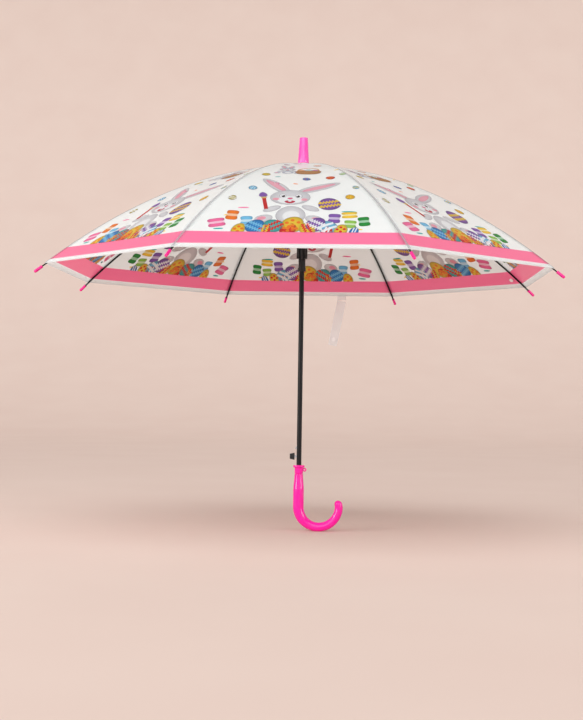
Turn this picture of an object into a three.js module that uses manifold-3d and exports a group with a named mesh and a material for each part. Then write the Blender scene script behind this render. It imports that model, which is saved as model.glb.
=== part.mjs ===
// A child's automatic stick umbrella, open: eight film gores on eight steel ribs, a hooked handle,
// a runner that slides on a steel shaft, and a push button that lets the runner go.
// Millimetres, +Z up the shaft, origin on the shaft's axis at the middle of the straight grip,
// +X towards the hook. Rib 1 stands half a gore to the left of -Y and the ribs count anticlockwise.
import * as THREE from 'three';
import { mergeVertices } from 'three/addons/utils/BufferGeometryUtils.js';
import Module from 'manifold-3d';

const wasm = await Module();
wasm.setup();

// ---- Driving dimensions ----------------------------------------------------------------------

const gap = 0.3; // between pieces that rest on each other
const play = 0.4; // between a moving piece and what it moves in

const ribCount = 8;
const canopyTop = 532; // height of the canopy's centre
const cornerRadius = 417; // from the axis to a corner of the canopy, level
const topSlope = 0.067; // fall of the film at the centre, mm per mm
const curvature = 0.000881; // how fast that fall grows, per mm
const filmThick = 0.3;

const shaftRadius = 4;
const filmHoleOffShaft = 1; // from the shaft's face to the corners of the film's hole
const filmHole = shaftRadius + filmHoleOffShaft;
const shaftWall = 0.6;
const shaftIntoFerrule = 20;
const shaftIntoGrip = 40;

const ferruleHeight = 44;
const ferruleBase = 9;
const ferruleTip = 6.7;
const washerRadius = 11;
const washerThick = 1.6;

const pivotOffShaft = 4; // from the shaft's face to the wire that the ribs turn on
const pivotRadius = shaftRadius + pivotOffShaft;
const crownRim = 2.5; // of the crown, past that wire's middle
const crownRadius = pivotRadius + crownRim;
const crownHeight = 13;
const crownBelow = 2; // from the film's centre to the crown's top face
const crownPivotBelow = 5; // from the film's centre to that wire
const wireRadius = 0.6;
const hubWall = 1.2;
const crownPinRadius = 0.75;

const runnerPivotBelow = 131; // from the film's centre to the runner's wire, open
const runnerPivotOffShaft = 4.6; // from the shaft's face to the eyes of the stretchers
const runnerPivotRadius = shaftRadius + runnerPivotOffShaft;
const runnerWireInset = 2; // of the wire from those eyes, which stay clear of it
const runnerWireRadius = runnerPivotRadius - runnerWireInset;
const runnerRim = 0.15; // of the runner, past those eyes' middles
const runnerRadius = runnerPivotRadius + runnerRim;
const runnerAbovePivot = 9;
const runnerBelowPivot = 22;
const neckWall = 1.3;
const neckRadius = shaftRadius + play + neckWall;
const neckLength = 15;
const flangeRim = 0.8; // of the flange, past the neck
const flangeRadius = neckRadius + flangeRim;
const flangeLength = 5.5;

const stopPinRadius = 0.8;
const stopPinProud = 1;

const ribWidth = 2.2;
const ribHeight = 2;
const ribWall = 0.5;
const ribUnderFilm = 2.5; // from the film down to the rib's middle, at the corner
const ribPastCorner = 13; // length of rib past the canopy's corner
const tongueThick = 1.6;
const tongueHeight = 3.6;
const tongueLength = 14;
const eyeRadius = 1;

const jointRadius = 213; // from the axis to the joint of rib and stretcher
const jointBelowRib = 3.6;
const lugThick = 1;
const lugRadius = 1.7;
const stretcherWidth = 2.7;
const stretcherHeight = 2.2;
const forkThick = 0.8;
const forkRadius = 1.6;
const forkLength = 12;
const rivetRadius = 0.6;
const rivetHeadRadius = 1.3;
const rivetHeadThick = 0.5;

const tipLength = 15;
const tipRadius = 2.45;
const tipBore = 1.75;
const tipStart = 4.5; // bare rib between the canopy's corner and the tip
const tipSocket = 10;

const springWire = 0.6;
const springOffShaft = 2.1; // from the shaft's face to the middle of the wire
const springRadius = shaftRadius + springOffShaft;
const springTurns = 14;

const collarTop = 42.5;
const collarWall = 2.7;
const collarNeckRadius = shaftRadius + gap + collarWall;
const collarFlangeRim = 2.3; // of the flange, past the neck
const collarFlangeRadius = collarNeckRadius + collarFlangeRim;
const collarFlangeThick = 4;
const collarLength = 14.2;
const eyeletRadius = 2.2;
const eyeletWire = 0.95;
const eyeletDrop = 7.5; // from the collar's top to the eyelet's centre

const gripTopRadius = collarNeckRadius;
const gripRadius = 8.85;
const gripBelow = 25; // straight grip below the origin
const hookRadius = 33;
const hookRadiusBottom = 7.45;
const hookRadiusEnd = 6.5;
const hookRise = 11;
const hookLean = THREE.MathUtils.degToRad(8);

const catchThick = 1.6;
const catchStrip = 0.8;
const catchNoseBelow = 463; // from the film's centre to the nose's flat under side
const catchNoseHeight = 6;
const catchNoseProud = 3;
const catchNoseLip = 0.6; // flat end of the nose, above its under side
const catchAboveNose = 6; // strip above the nose
const catchAboveCollar = 2;
const buttonTopBelow = 469.5;
const buttonHeight = 11.5;
const buttonProud = 11;
const buttonWidth = 6.4;
const buttonOffShaft = 3.4;
const linkInButton = 3;
const linkHeight = 4;

const strapWidth = 17;
const strapLength = 87;
const strapThick = 0.6;
const strapCorner = 1.5; // radius of the two corners at its free end
const strapShare = 0.306; // place along the back gore's rim, from rib 5 to rib 6
const strapTilt = THREE.MathUtils.degToRad(11);
const strapTabLength = 8;
const strapTabThick = 2;
const snapRadius = 4.8;
const snapThick = 1.6;
const snapFromEnd = 12;
const socketInset = 20; // along the rim from rib 4
const socketUp = 21; // up the gore from its rim

// ---- Values that follow ----------------------------------------------------------------------

const step = (2 * Math.PI) / ribCount;
const firstRib = -Math.PI / 2 - step / 2;
const toMiddle = Math.cos(step / 2);
const ribAngle = (k) => firstRib + step * (k - 1);

const filmFall = (r) => topSlope * r + curvature * r * r;
const filmZ = (r) => canopyTop - filmFall(r);
const filmSlope = (r) => topSlope + 2 * curvature * r;

// The rib's middle line keeps below the film and meets the crown's wire at its inner end.
const ribStartBelow = crownPivotBelow - filmFall(pivotRadius);
const ribClosing = (ribStartBelow - ribUnderFilm) / (cornerRadius - pivotRadius);
const ribZ = (r) => filmZ(r) - ribStartBelow + ribClosing * (r - pivotRadius);
const ribSlope = (r) => filmSlope(r) - ribClosing;
const cornerAngle = Math.atan(ribSlope(cornerRadius));
const ribEnd = cornerRadius + ribPastCorner * Math.cos(cornerAngle);

const crownTop = canopyTop - crownBelow;
const crownBottom = crownTop - crownHeight;
const crownPivotZ = canopyTop - crownPivotBelow;
const runnerPivotZ = canopyTop - runnerPivotBelow;
const runnerTop = runnerPivotZ + runnerAbovePivot;
const blockBottom = runnerPivotZ - runnerBelowPivot;
const neckBottom = blockBottom - neckLength;
const runnerBottom = neckBottom - flangeLength;
const slideBore = shaftRadius + play;
const slotWidth = tongueThick + 2 * play;
const slotRadius = slideBore + hubWall;

const jointZ = ribZ(jointRadius) - jointBelowRib;
const stretcherRun = jointRadius - runnerPivotRadius;
const stretcherRise = jointZ - runnerPivotZ;
const stretcherLength = Math.hypot(stretcherRun, stretcherRise);
const stretcherAngle = Math.atan2(stretcherRise, stretcherRun);

const washerBottom = canopyTop + gap;
const ferruleBottom = washerBottom + washerThick + gap;
const ferruleTop = canopyTop + ferruleHeight;
const shaftTop = ferruleBottom + shaftIntoFerrule;
const fixedBore = shaftRadius + gap;

const gripTop = collarTop - collarLength - gap;
const shaftBottom = gripTop - shaftIntoGrip;
const catchNoseZ = canopyTop - catchNoseBelow;
const buttonTop = canopyTop - buttonTopBelow;
const buttonMiddle = buttonTop - buttonHeight / 2;
const slotSpare = 2 * play;

// ---- Solids ----------------------------------------------------------------------------------

/** A closed geometry as a solid that can be cut and joined. */
function solid(geometry) {
  const bare = geometry.clone();
  bare.deleteAttribute('normal');
  bare.deleteAttribute('uv');
  const merged = mergeVertices(bare, 1e-4);
  return new wasm.Manifold(
    new wasm.Mesh({
      numProp: 3,
      vertProperties: new Float32Array(merged.attributes.position.array),
      triVerts: new Uint32Array(merged.index.array),
    })
  );
}

/** A cut or joined solid as a geometry. */
function geometryOf(cut) {
  const mesh = cut.getMesh();
  const geometry = new THREE.BufferGeometry();
  geometry.setAttribute('position', new THREE.BufferAttribute(mesh.vertProperties, 3));
  geometry.setIndex(new THREE.BufferAttribute(mesh.triVerts, 1));
  geometry.computeVertexNormals();
  return geometry;
}

/** A profile of [radius, height] points, turned round Z. */
function turned(points, sides) {
  const profile = points.map(([r, z]) => new THREE.Vector2(r, z));
  return new THREE.LatheGeometry(profile, sides).rotateX(Math.PI / 2);
}

/** A washer or tube: bore, outer radius, bottom and top. */
function ring(bore, outer, bottom, top, sides) {
  const points = [[bore, bottom], [outer, bottom], [outer, top], [bore, top], [bore, bottom]];
  return turned(points, sides);
}

/** A round bar round Z, solid to the axis. */
function bar(radius, bottom, top, sides) {
  return turned([[0, bottom], [radius, bottom], [radius, top], [0, top]], sides);
}

/** A wire ring round Z: its middle line's radius and height, and the wire's radius. */
function wireRing(radius, z, wire, sides, across) {
  const points = [];
  for (let i = 0; i <= across; i++) {
    const a = (2 * Math.PI * i) / across;
    points.push([radius + wire * Math.cos(a), z + wire * Math.sin(a)]);
  }
  return turned(points, sides);
}

/** An outline of [x, z] points, or a Shape, made thick along Y and centred on Y = 0. */
function plate(outline, thick) {
  const isShape = outline instanceof THREE.Shape;
  const shape = isShape ? outline : new THREE.Shape(outline.map(([x, z]) => new THREE.Vector2(x, z)));
  const options = { depth: thick, bevelEnabled: false, curveSegments: 4 };
  const geometry = new THREE.ExtrudeGeometry(shape, options);
  return geometry.translate(0, 0, -thick / 2).rotateX(Math.PI / 2);
}

/** A box between two corners. */
function block(low, high) {
  const size = high.map((v, i) => v - low[i]);
  const geometry = new THREE.BoxGeometry(...size);
  return geometry.translate(...low.map((v, i) => v + size[i] / 2));
}

/** A pin along Y, centred on the given x and z. */
function crossPin(radius, length, x, z, sides) {
  return new THREE.CylinderGeometry(radius, radius, length, sides).translate(x, 0, z);
}

/** A bar with round ends and an eye at one or both: a plate in the XZ plane along +X. */
function link(length, halfHeight, thick, eyes, hole) {
  const shape = new THREE.Shape();
  shape.absarc(0, 0, halfHeight, Math.PI / 2, -Math.PI / 2, false);
  shape.absarc(length, 0, halfHeight, -Math.PI / 2, Math.PI / 2, false);
  for (const x of eyes) {
    const eye = new THREE.Path();
    eye.absarc(x, 0, hole, 0, 2 * Math.PI, true);
    shape.holes.push(eye);
  }
  return plate(shape, thick);
}

// ---- The assembly ----------------------------------------------------------------------------

const colours = {
  pink: { color: 0xff0a91, roughness: 0.25, metalness: 0 },
  blackSteel: { color: 0x141414, roughness: 0.4, metalness: 0.6 },
  blackPlastic: { color: 0x101010, roughness: 0.45, metalness: 0 },
  steel: { color: 0xb8b8bc, roughness: 0.35, metalness: 0.9 },
  film: { color: 0xf3f3f0, roughness: 0.3, metalness: 0, transparent: true, opacity: 0.7 },
  clear: { color: 0xf4f4f4, roughness: 0.3, metalness: 0 },
};
const materials = {};
for (const [name, values] of Object.entries(colours)) {
  materials[name] = new THREE.MeshStandardMaterial(values);
}

const umbrella = new THREE.Group();
umbrella.name = 'childrens_umbrella';

/** Adds a named piece, turned round the shaft where it belongs to a rib or gore. */
function add(name, geometry, material, angle = 0) {
  const mesh = new THREE.Mesh(geometry, materials[material]);
  mesh.name = name;
  mesh.rotation.z = angle;
  umbrella.add(mesh);
  return mesh;
}

// Shaft: a steel tube with a slot each for the catch's nose and the button's link.
const noseSlotTop = catchNoseZ + catchNoseHeight + slotSpare;
const noseSlot = block(
  [-shaftRadius - 1, -catchThick / 2 - play, catchNoseZ - slotSpare],
  [-shaftRadius / 2, catchThick / 2 + play, noseSlotTop]
);
const linkSlot = block(
  [-shaftRadius - 1, -catchThick / 2 - play, buttonMiddle - linkHeight / 2 - slotSpare],
  [-shaftRadius / 2, catchThick / 2 + play, buttonMiddle + linkHeight / 2 + slotSpare]
);
const crownPinZ = (crownPivotZ + crownBottom) / 2 - wireRadius;
const stopPinZ = runnerTop + gap + stopPinRadius;
const tube = solid(ring(shaftRadius - shaftWall, shaftRadius, shaftBottom, shaftTop, 24));
const shaft = tube
  .subtract(solid(noseSlot))
  .subtract(solid(linkSlot))
  .subtract(solid(crossPin(crownPinRadius + gap, 3 * shaftRadius, 0, crownPinZ, 12)))
  .subtract(solid(crossPin(stopPinRadius + gap, 3 * shaftRadius, 0, stopPinZ, 12)));
add('shaft', geometryOf(shaft), 'blackSteel');

// Ferrule: a tapered spike with a flat end, on the shaft's top, and the washer that spreads its load.
const ferruleRim = 1;
const ferruleProfile = [
  [0, ferruleTop],
  [ferruleTip - ferruleRim, ferruleTop],
  [ferruleTip, ferruleTop - ferruleRim],
  [ferruleBase, ferruleBottom + 2 * ferruleRim],
  [ferruleBase, ferruleBottom],
  [fixedBore, ferruleBottom],
  [fixedBore, shaftTop + gap],
  [0, shaftTop + gap],
].reverse();
add('ferrule', turned(ferruleProfile, 24), 'pink');
add('top_washer', ring(fixedBore, washerRadius, washerBottom, washerBottom + washerThick, 28), 'clear');

/** A slotted hub: a ring less one radial slot per rib and the groove that its wire lies in. */
function slottedHub(outer, bore, bottom, top, wireZ, grooveRadius) {
  let hub = solid(ring(bore, outer, bottom, top, 32));
  const slot = block([slotRadius, -slotWidth / 2, bottom - 1], [outer + 1, slotWidth / 2, top + 1]);
  for (let k = 1; k <= ribCount; k++) hub = hub.subtract(solid(slot.clone().rotateZ(ribAngle(k))));
  const half = wireRadius + gap;
  return hub.subtract(solid(ring(grooveRadius - half, outer + 1, wireZ - half, wireZ + half, 32)));
}

// Crown: a slotted hub pinned to the shaft under the film, with the wire that the ribs turn on.
const crown = slottedHub(crownRadius, fixedBore, crownBottom, crownTop, crownPivotZ, pivotRadius);
const crownPinHole = crossPin(crownPinRadius + gap, 3 * crownRadius, 0, crownPinZ, 12);
add('crown', geometryOf(crown.subtract(solid(crownPinHole))), 'blackPlastic');
add('crown_wire', wireRing(pivotRadius, crownPivotZ, wireRadius, 24, 6), 'steel');
add('crown_pin', crossPin(crownPinRadius, 2 * crownRadius - 1, 0, crownPinZ, 10), 'steel');

// Stop pin: through the shaft just above the runner, which it stops when the umbrella is open.
const stopPinLength = 2 * (shaftRadius + stopPinProud);
add('stop_pin', crossPin(stopPinRadius, stopPinLength, 0, stopPinZ, 10), 'steel');

// Opening spring: a tension coil round the shaft, from the crown to the runner.
class Coil extends THREE.Curve {
  constructor(radius, bottom, top, turns) {
    super();
    Object.assign(this, { radius, bottom, top, turns });
  }
  getPoint(t, target = new THREE.Vector3()) {
    const a = 2 * Math.PI * this.turns * t;
    const z = THREE.MathUtils.lerp(this.bottom, this.top, t);
    return target.set(this.radius * Math.cos(a), this.radius * Math.sin(a), z);
  }
}
const coilBottom = runnerTop + gap + springWire;
const coilTop = crownBottom - gap - springWire;
const coil = new Coil(springRadius, coilBottom, coilTop, springTurns);
const wireSection = new THREE.Shape();
wireSection.absarc(0, 0, springWire, 0, 2 * Math.PI, false);
const springGeometry = new THREE.ExtrudeGeometry(wireSection, {
  extrudePath: coil,
  steps: springTurns * 10,
  curveSegments: 3,
  bevelEnabled: false,
});
add('opening_spring', springGeometry, 'steel');

// Runner: a slotted block on a neck and flange, with a window in the neck for the catch's nose.
const runnerWindow = block(
  [-flangeRadius - 1, -catchThick, neckBottom + play],
  [-shaftRadius, catchThick, neckBottom + play + catchNoseHeight + 2 * slotSpare + 1]
);
const runnerNeck = solid(ring(slideBore, neckRadius, neckBottom - 1, blockBottom + 1, 24));
const runnerFlange = solid(ring(slideBore, flangeRadius, runnerBottom, neckBottom, 24));
const runner = slottedHub(
  runnerRadius, slideBore, blockBottom, runnerTop, runnerPivotZ, runnerWireRadius
).add(runnerNeck).add(runnerFlange).subtract(solid(runnerWindow));
add('runner', geometryOf(runner), 'blackPlastic');
add('runner_wire', wireRing(runnerWireRadius, runnerPivotZ, wireRadius, 24, 6), 'steel');

// Rib: a steel channel, open below, on a flat tongue, with a lug for the stretcher.
const ribStart = pivotRadius + tongueLength - 4;
const ribStartPoint = new THREE.Vector3(ribStart, 0, ribZ(ribStart));
const ribMiddle = (ribStart + ribEnd) / 2;
const ribMiddlePoint = new THREE.Vector3(
  ribMiddle, 0, ribZ(ribStart) - ribSlope(ribStart) * (ribMiddle - ribStart)
);
const ribEndPoint = new THREE.Vector3(ribEnd, 0, ribZ(ribEnd));
const ribCurve = new THREE.QuadraticBezierCurve3(ribStartPoint, ribMiddlePoint, ribEndPoint);

/** A channel's section, open towards +Y. */
function channelSection(width, height, wall) {
  const w = width / 2;
  const h = height / 2;
  const outline = [
    [-w, -h], [w, -h], [w, h], [w - wall, h], [w - wall, wall - h], [wall - w, wall - h], [wall - w, h], [-w, h],
  ];
  return new THREE.Shape(outline.map(([x, y]) => new THREE.Vector2(x, y)));
}
const ribChannel = new THREE.ExtrudeGeometry(channelSection(ribWidth, ribHeight, ribWall), {
  extrudePath: ribCurve,
  steps: 16,
  bevelEnabled: false,
});
const tongueSlope = Math.atan2(crownPivotZ - ribZ(pivotRadius + tongueLength), tongueLength);
const ribTongue = link(tongueLength, tongueHeight / 2, tongueThick, [0], eyeRadius)
  .rotateY(tongueSlope)
  .translate(pivotRadius, 0, crownPivotZ);
const lugLength = jointBelowRib + ribHeight / 2 - lugRadius - 0.1;
const ribLug = link(lugLength, lugRadius, lugThick, [0], rivetRadius + gap)
  .rotateY(-Math.PI / 2)
  .translate(jointRadius, 0, jointZ);
const rib = geometryOf(solid(ribChannel).add(solid(ribTongue)).add(solid(ribLug)));

// Stretcher: a steel bar with a fork at the rib and a plain tongue that ends short of the
// runner's wire.
const forkOuter = lugThick + 2 * play + 2 * forkThick;
const forkCheek = link(forkLength, forkRadius, forkThick, [0], rivetRadius + gap);
const cheekOffset = (lugThick + forkThick) / 2 + play;
const barStart = forkLength - 2;
const barEnd = stretcherLength - tongueLength + 2;
const stretcherBar = block(
  [barStart, -stretcherWidth / 2, -stretcherHeight / 2],
  [barEnd, stretcherWidth / 2, stretcherHeight / 2]
);
const innerTongue = block(
  [barEnd - 3, -tongueThick / 2, -stretcherHeight / 2],
  [stretcherLength, tongueThick / 2, stretcherHeight / 2]
);
const stretcher = geometryOf(
  solid(stretcherBar)
    .add(solid(innerTongue))
    .add(solid(forkCheek.clone().translate(0, cheekOffset, 0)))
    .add(solid(forkCheek.clone().translate(0, -cheekOffset, 0)))
).rotateY(Math.PI - stretcherAngle).translate(jointRadius, 0, jointZ);

/** A stem round Z between two heads: its half length to a head, and each head's radius. */
function spool(stem, half, lowHead, highHead, headThick) {
  return turned([
    [0, -half - headThick],
    [lowHead, -half - headThick],
    [lowHead, -half],
    [stem, -half],
    [stem, half],
    [highHead, half],
    [highHead, half + headThick],
    [0, half + headThick],
  ], 8);
}

// Rivet: through the fork and the lug, with a head at each end.
const rivetHalf = forkOuter / 2 + gap;
const rivet = spool(rivetRadius, rivetHalf, rivetHeadRadius, rivetHeadRadius, rivetHeadThick)
  .rotateX(Math.PI / 2)
  .translate(jointRadius, 0, jointZ);

// Tip: a soft cap pushed onto the rib's end, with a round end.
const tipProfile = [[0, tipSocket], [tipBore, tipSocket], [tipBore, 0], [tipRadius, 0]];
for (let i = 0; i <= 3; i++) {
  const a = (Math.PI / 2) * (i / 3);
  tipProfile.push([tipRadius * Math.cos(a), tipLength - tipRadius + tipRadius * Math.sin(a)]);
}
tipProfile[tipProfile.length - 1][0] = 0;
const tipRadiusAt = cornerRadius + tipStart * Math.cos(cornerAngle);
const tip = turned(tipProfile, 10)
  .rotateY(Math.PI / 2 + cornerAngle)
  .translate(tipRadiusAt, 0, ribZ(tipRadiusAt));

for (let k = 1; k <= ribCount; k++) {
  add(`rib_${k}`, rib.clone(), 'blackSteel', ribAngle(k));
  add(`tip_${k}`, tip.clone(), 'pink', ribAngle(k));
  add(`stretcher_${k}`, stretcher.clone(), 'blackSteel', ribAngle(k));
  add(`rivet_${k}`, rivet.clone(), 'steel', ribAngle(k));
}

// Gore: one eighth of the film, curved along the ribs and straight across, cut to a trapezoid.
const goreSteps = 14;
const goreOutline = [];
for (let i = 0; i <= goreSteps; i++) {
  const r = THREE.MathUtils.lerp(filmHole, cornerRadius, i / goreSteps);
  goreOutline.push([r * toMiddle, filmZ(r)]);
}
for (let i = goreSteps; i >= 0; i--) {
  const r = THREE.MathUtils.lerp(filmHole, cornerRadius, i / goreSteps);
  goreOutline.push([r * toMiddle, filmZ(r) - filmThick]);
}
const rimHalf = cornerRadius * Math.sin(step / 2);
const goreSheet = plate(goreOutline, 2 * rimHalf + 4);
const wedge = new THREE.Shape();
wedge.moveTo(0, 0);
wedge.lineTo(2 * cornerRadius, 2 * cornerRadius * Math.tan(step / 2));
wedge.lineTo(2 * cornerRadius, -2 * cornerRadius * Math.tan(step / 2));
const wedgeGeometry = new THREE.ExtrudeGeometry(wedge, { depth: 2 * canopyTop, bevelEnabled: false })
  .translate(gap / 2 / Math.sin(step / 2), 0, -canopyTop / 2);
const gore = solid(goreSheet).intersect(solid(wedgeGeometry));

// Snap socket: through the gore between ribs 4 and 5, for the stud on the tie strap.
const goreAngle = Math.atan(filmSlope(cornerRadius) / toMiddle);
const rimRadius = cornerRadius * toMiddle;
const socketRadius = rimRadius - socketUp * Math.cos(goreAngle);
const socketAt = [socketRadius, socketInset - rimHalf, filmZ(socketRadius / toMiddle) - filmThick / 2];
const socketStem = snapRadius / 3;
const socketHole = bar(socketStem + gap, -2 * snapThick, 2 * snapThick, 12)
  .rotateY(goreAngle)
  .translate(...socketAt);
const socket = spool(socketStem, filmThick / 2 + 2 * gap, snapRadius - 1, snapRadius, snapThick)
  .rotateY(goreAngle)
  .translate(...socketAt);
const socketGore = 4;
for (let k = 1; k <= ribCount; k++) {
  const cut = k === socketGore ? gore.subtract(solid(socketHole)) : gore;
  add(`panel_${k}`, geometryOf(cut), 'film', ribAngle(k) + step / 2);
}
add('snap_socket', socket, 'clear', ribAngle(socketGore) + step / 2);

// Collar: a flanged sleeve between the grip and the shaft, with an eyelet towards the hook.
const collarBottom = collarTop - collarLength;
const collarSleeve = turned([
  [fixedBore, collarBottom],
  [collarNeckRadius, collarBottom],
  [collarNeckRadius, collarTop - collarFlangeThick],
  [collarFlangeRadius, collarTop - collarFlangeThick],
  [collarFlangeRadius, collarTop],
  [fixedBore, collarTop],
  [fixedBore, collarBottom],
], 28);
const eyeletGeometry = wireRing(eyeletRadius, 0, eyeletWire, 16, 8)
  .rotateX(Math.PI / 2)
  .translate(collarNeckRadius + eyeletRadius, 0, collarTop - eyeletDrop);
add('collar', geometryOf(solid(collarSleeve).add(solid(eyeletGeometry))), 'pink');

// Handle: one round bar, bored for the shaft, straight and then bent into a hook.
const straightLength = gripTop + gripBelow;
const bendLength = Math.PI * hookRadius;
const handleLength = straightLength + bendLength + hookRise;

/** The handle's radius at a length along it from its top. */
function handleRadius(s) {
  const toWaist = straightLength + bendLength / 2;
  if (s < gripTop) {
    const t = s / gripTop;
    return THREE.MathUtils.lerp(gripTopRadius, gripRadius, t * t * (3 - 2 * t));
  }
  if (s < straightLength) return gripRadius;
  if (s < toWaist) {
    const t = (s - straightLength) / (toWaist - straightLength);
    return THREE.MathUtils.lerp(gripRadius, hookRadiusBottom, t * t * (3 - 2 * t));
  }
  return THREE.MathUtils.lerp(hookRadiusBottom, hookRadiusEnd, (s - toWaist) / (handleLength - toWaist));
}

/** Moves a point of the straight bar, whose z is the length from the top, onto the hooked line. */
function bend(point) {
  const { x, y, z: s } = point;
  if (s <= straightLength) return point.set(x, y, gripTop - s);
  const a = Math.min((s - straightLength) / hookRadius, Math.PI);
  const centre = new THREE.Vector2(hookRadius, -gripBelow);
  const reach = hookRadius - x;
  point.set(centre.x - reach * Math.cos(a), y, centre.y - reach * Math.sin(a));
  const past = Math.max(0, s - straightLength - bendLength);
  point.x -= past * Math.sin(hookLean);
  point.z += past * Math.cos(hookLean);
  return point;
}
const handleProfile = [[0, 0], [gripTopRadius - 1, 0]];
const handleSteps = 24;
const endRound = 3;
for (let i = 0; i <= handleSteps; i++) {
  const s = THREE.MathUtils.lerp(1, handleLength - hookRadiusEnd, i / handleSteps);
  handleProfile.push([handleRadius(s), s]);
}
for (let i = 1; i <= endRound; i++) {
  const a = (Math.PI / 2) * (i / endRound);
  const r = i === endRound ? 0 : hookRadiusEnd * Math.cos(a);
  handleProfile.push([r, handleLength - hookRadiusEnd + hookRadiusEnd * Math.sin(a)]);
}
const handleBar = turned(handleProfile.reverse(), 14);
const handlePositions = handleBar.attributes.position;
const corner = new THREE.Vector3();
for (let i = 0; i < handlePositions.count; i++) {
  bend(corner.fromBufferAttribute(handlePositions, i));
  handlePositions.setXYZ(i, corner.x, corner.y, corner.z);
}
const handleBore = bar(fixedBore, shaftBottom - gap, gripTop + 1, 24);
add('handle', geometryOf(solid(handleBar).subtract(solid(handleBore))), 'pink');

// Catch: a spring-steel strip inside the shaft, with a nose that holds the closed runner and a
// link out to the button.
const stripOuter = -(shaftRadius - shaftWall - play);
const stripInner = stripOuter + catchStrip;
const stripBottom = collarTop + catchAboveCollar;
const stripTop = catchNoseZ + catchNoseHeight + catchAboveNose;
const noseX = -(shaftRadius + catchNoseProud);
const linkEnd = -(shaftRadius + buttonOffShaft + linkInButton);
const linkLow = buttonMiddle - linkHeight / 2;
const linkHigh = buttonMiddle + linkHeight / 2;
const catchOutline = [
  [stripInner, stripBottom],
  [stripInner, stripTop],
  [stripOuter, stripTop],
  [stripOuter, catchNoseZ + catchNoseHeight],
  [noseX, catchNoseZ + catchNoseLip],
  [noseX, catchNoseZ],
  [stripOuter, catchNoseZ],
  [stripOuter, linkHigh],
  [linkEnd, linkHigh],
  [linkEnd, linkLow],
  [stripOuter, linkLow],
  [stripOuter, stripBottom],
];
add('catch', plate(catchOutline, catchThick), 'steel');

// Button: a ridged plastic wedge on the end of the link.
const buttonInner = -(shaftRadius + buttonOffShaft);
const buttonOuter = -(shaftRadius + buttonProud);
const buttonBottom = buttonTop - buttonHeight;
const buttonTaper = 1.6;
const buttonOutline = [
  [buttonInner, buttonBottom],
  [buttonInner, buttonTop],
  [buttonOuter, buttonTop - buttonTaper],
  [buttonOuter, buttonBottom + buttonTaper],
];
const buttonSocket = block(
  [linkEnd - gap, -catchThick / 2 - gap, linkLow - gap],
  [buttonInner + 1, catchThick / 2 + gap, linkHigh + gap]
);
const button = solid(plate(buttonOutline, buttonWidth)).subtract(solid(buttonSocket));
add('button', geometryOf(button), 'blackPlastic');

// Tie strap: hangs from a tab under the back gore's rim, with a snap stud near its free end.
const strapGore = 5;
const backAngle = ribAngle(strapGore) + step / 2;
const strapY = rimHalf * (2 * strapShare - 1);
const strapX = rimRadius - strapTabThick;
const tabTop = filmZ(cornerRadius) - filmThick - gap;
const tabBottom = tabTop - strapTabLength;
const strapTab = block(
  [strapX - strapTabThick / 2, strapY - strapWidth / 2, tabBottom],
  [strapX + strapTabThick / 2, strapY + strapWidth / 2, tabTop]
);
add('strap_tab', strapTab, 'clear', backAngle);

const studStem = snapRadius / 3;
const studDown = strapLength - snapFromEnd;
const strapShape = new THREE.Shape();
const strapInner = strapWidth / 2 - strapCorner;
const strapCornerY = strapCorner - strapLength;
strapShape.moveTo(strapWidth / 2, 0);
strapShape.lineTo(-strapWidth / 2, 0);
strapShape.absarc(-strapInner, strapCornerY, strapCorner, -Math.PI, -Math.PI / 2, false);
strapShape.absarc(strapInner, strapCornerY, strapCorner, -Math.PI / 2, 0, false);
const studHole = new THREE.Path();
studHole.absarc(0, -studDown, studStem + gap, 0, 2 * Math.PI, true);
strapShape.holes.push(studHole);
const strapTop = tabBottom - gap - (strapWidth / 2) * Math.sin(strapTilt);
const strap = plate(strapShape, strapThick)
  .rotateY(-strapTilt)
  .rotateZ(Math.PI / 2)
  .translate(strapX, strapY, strapTop);
add('strap', strap, 'clear', backAngle);

const studY = strapY + studDown * Math.sin(strapTilt);
const studZ = strapTop - studDown * Math.cos(strapTilt);
const stud = spool(studStem, strapThick / 2 + gap, snapRadius, snapRadius - 1, snapThick)
  .rotateY(Math.PI / 2)
  .translate(strapX, studY, studZ);
add('snap_stud', stud, 'clear', backAngle);

export default umbrella;
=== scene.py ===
import math

import bmesh
import bpy
import numpy as np
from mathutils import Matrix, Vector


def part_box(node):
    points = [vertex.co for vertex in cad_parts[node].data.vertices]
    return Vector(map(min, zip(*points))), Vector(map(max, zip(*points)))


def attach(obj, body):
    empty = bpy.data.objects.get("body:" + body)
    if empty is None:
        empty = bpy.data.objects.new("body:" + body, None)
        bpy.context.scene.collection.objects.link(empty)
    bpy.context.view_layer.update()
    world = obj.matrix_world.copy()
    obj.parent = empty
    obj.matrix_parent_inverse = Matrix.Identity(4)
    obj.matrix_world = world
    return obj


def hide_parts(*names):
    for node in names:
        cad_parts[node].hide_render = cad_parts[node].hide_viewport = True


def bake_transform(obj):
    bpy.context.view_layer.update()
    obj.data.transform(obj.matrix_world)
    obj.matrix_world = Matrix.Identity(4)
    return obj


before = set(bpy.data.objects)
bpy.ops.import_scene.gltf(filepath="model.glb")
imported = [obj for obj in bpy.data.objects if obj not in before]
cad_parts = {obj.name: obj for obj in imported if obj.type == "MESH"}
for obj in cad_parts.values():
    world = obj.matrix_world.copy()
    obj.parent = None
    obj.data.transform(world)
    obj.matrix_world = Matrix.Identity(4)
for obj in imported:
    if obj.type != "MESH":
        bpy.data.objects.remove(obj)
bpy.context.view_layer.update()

# ---- Camera, floor and light ---------------------------------------------------------------------
# A still camera at the height of the lower shaft looks level at the open umbrella, over a pale
# sheet that curves up behind it. Two soft boxes, a broad ceiling light and a weak front light are on.

EYE_HEIGHT = 0.145
EYE_DISTANCE = 2.12
EYE_TURN = math.radians(2.34)
EYE_ROLL = math.radians(0.86)

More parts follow.
